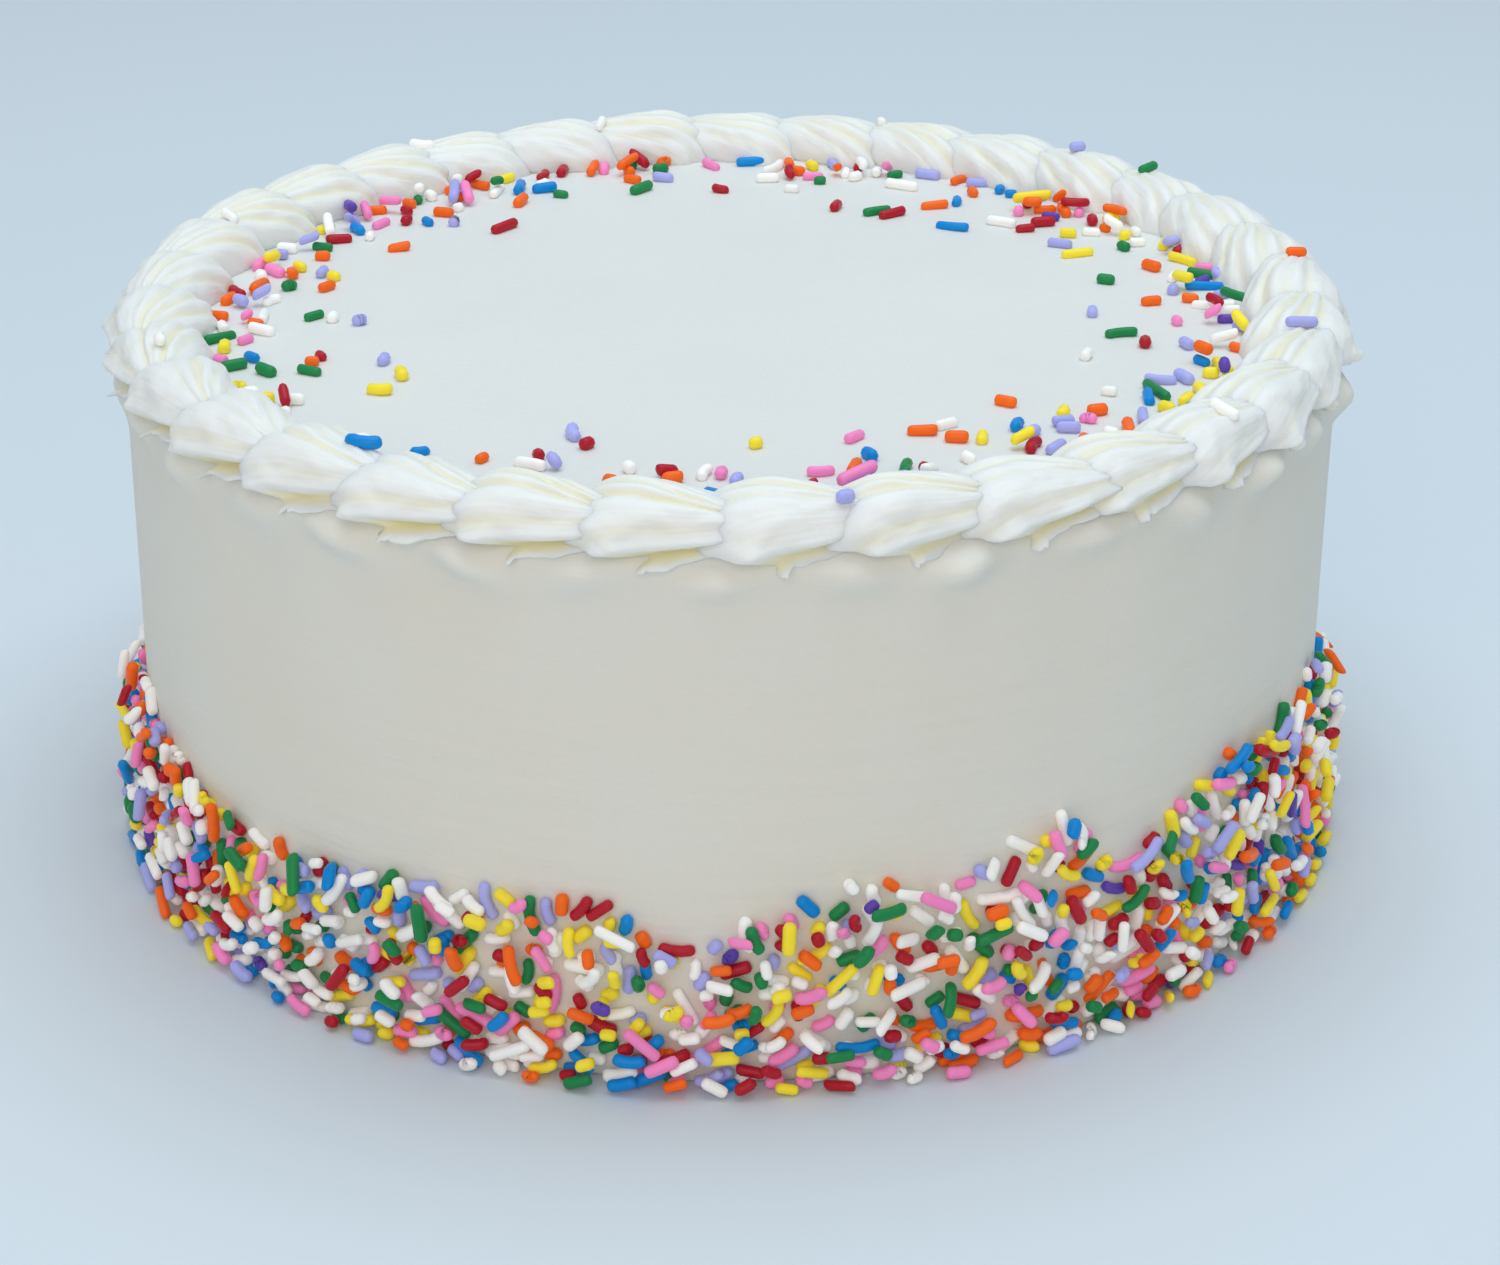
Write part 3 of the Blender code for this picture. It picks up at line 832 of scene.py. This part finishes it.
strew = np.random.default_rng(STREW_SEED)
side_rods, top_rods = None, None
for count, trials, spread in SIDE_LAYERS:
    layer = strewn(strew, count, trials, band_spots(spread), ON_SIDE, side_rods)
    side_rods = layer if side_rods is None else joined(side_rods, layer)
for count, trials in TOP_LAYERS:
    layer = strewn(strew, count, trials, top_spots, ON_TOP, top_rods)
    top_rods = layer if top_rods is None else joined(top_rods, layer)
perched = perched_rods(np.random.default_rng(PERCHED_SEED))
all_rings = np.concatenate([
    rod_rings(side_rods, side_to_space),
    rod_rings(top_rods, top_to_space),
    rod_rings(perched, perch_to_space),
])
all_kinds = np.concatenate([side_rods["kind"], top_rods["kind"], perched["kind"]])
all_shades = np.concatenate([side_rods["shade"], top_rods["shade"], perched["shade"]])
for number, kind in enumerate(KINDS):
    chosen = all_kinds == number
    rods_piece(kind, all_rings[chosen], all_shades[chosen])


# The studio
# A plain pale floor and soft light from above, as on a covered table by a window, and
# the camera a little over half a metre off, looking down on the cake from its front.
IMAGE_WIDTH = 1500
CAMERA_DISTANCE = 590.0 * MM
CAMERA_ELEVATION = math.radians(23.1)
CAMERA_AIM_HEIGHT = 50.0 * MM
CAMERA_FOCAL_PIXELS = 3300.0
AIM_PIXEL = (729.7, 525.0)
IMAGE_MIDDLE = (750.0, 632.5)
SENSOR_WIDTH = 36.0
FLOOR_HALF = 6.0


def studio_camera():
    """The camera at the photo's angle, shifted so that the aim falls on its pixel."""
    camera = bpy.data.cameras.new("camera")
    camera.sensor_width = SENSOR_WIDTH
    camera.lens = CAMERA_FOCAL_PIXELS / IMAGE_WIDTH * SENSOR_WIDTH
    camera.shift_x = (IMAGE_MIDDLE[0] - AIM_PIXEL[0]) / IMAGE_WIDTH
    camera.shift_y = (AIM_PIXEL[1] - IMAGE_MIDDLE[1]) / IMAGE_WIDTH
    holder = bpy.data.objects.new("camera", camera)
    holder.location = (
        0.0,
        -CAMERA_DISTANCE * math.cos(CAMERA_ELEVATION),
        CAMERA_AIM_HEIGHT + CAMERA_DISTANCE * math.sin(CAMERA_ELEVATION),
    )
    holder.rotation_euler = (0.5 * math.pi - CAMERA_ELEVATION, 0.0, 0.0)
    bpy.context.scene.collection.objects.link(holder)
    bpy.context.scene.camera = holder


def soft_light(name, place, aim, power, size, colour):
    """A square area light at a place, turned to an aim."""
    light = bpy.data.lights.new(name, "AREA")
    light.energy, light.size, light.color = power, size, colour
    holder = bpy.data.objects.new(name, light)
    holder.location = place
    way = holder.location - type(holder.location)(aim)
    holder.rotation_euler = way.to_track_quat("Z", "Y").to_euler()
    bpy.context.scene.collection.objects.link(holder)


def pale_floor():
    """A wide flat floor, matt pale blue."""
    half = FLOOR_HALF
    corners = [(-half, -half, 0.0), (half, -half, 0.0), (half, half, 0.0), (-half, half, 0.0)]
    mesh = bpy.data.meshes.new("floor")
    mesh.from_pydata(corners, [], [(0, 1, 2, 3)])
    finish = Finish("pale_floor", Base_Color=(0.68, 0.745, 0.79, 1.0), Roughness=0.8)
    mesh.materials.append(finish.material)
    floor = bpy.data.objects.new("floor", mesh)
    bpy.context.scene.collection.objects.link(floor)
    floor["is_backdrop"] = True


def pale_world():
    """An even pale sky all round."""
    world = bpy.data.worlds.new("pale_world")
    world.use_nodes = True
    sky = world.node_tree.nodes["Background"]
    sky.inputs["Color"].default_value = (0.90, 0.95, 1.0, 1.0)
    sky.inputs["Strength"].default_value = 0.455
    bpy.context.scene.world = world


studio_camera()
pale_floor()
pale_world()
soft_light("overhead", (0.08, 0.12, 1.3), (0.0, 0.0, 0.05), 10.9, 1.2, (0.72, 0.88, 1.0))
soft_light("front_fill", (-0.25, -1.3, 0.75), (0.0, 0.0, 0.05), 6.0, 1.0, (1.0, 0.835, 0.74))
bpy.context.scene.view_settings.view_transform = "Standard"

boxes = {"cad": cad_box, "visual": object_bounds()}
{name: [list(corner) for corner in box] for name, box in boxes.items()}
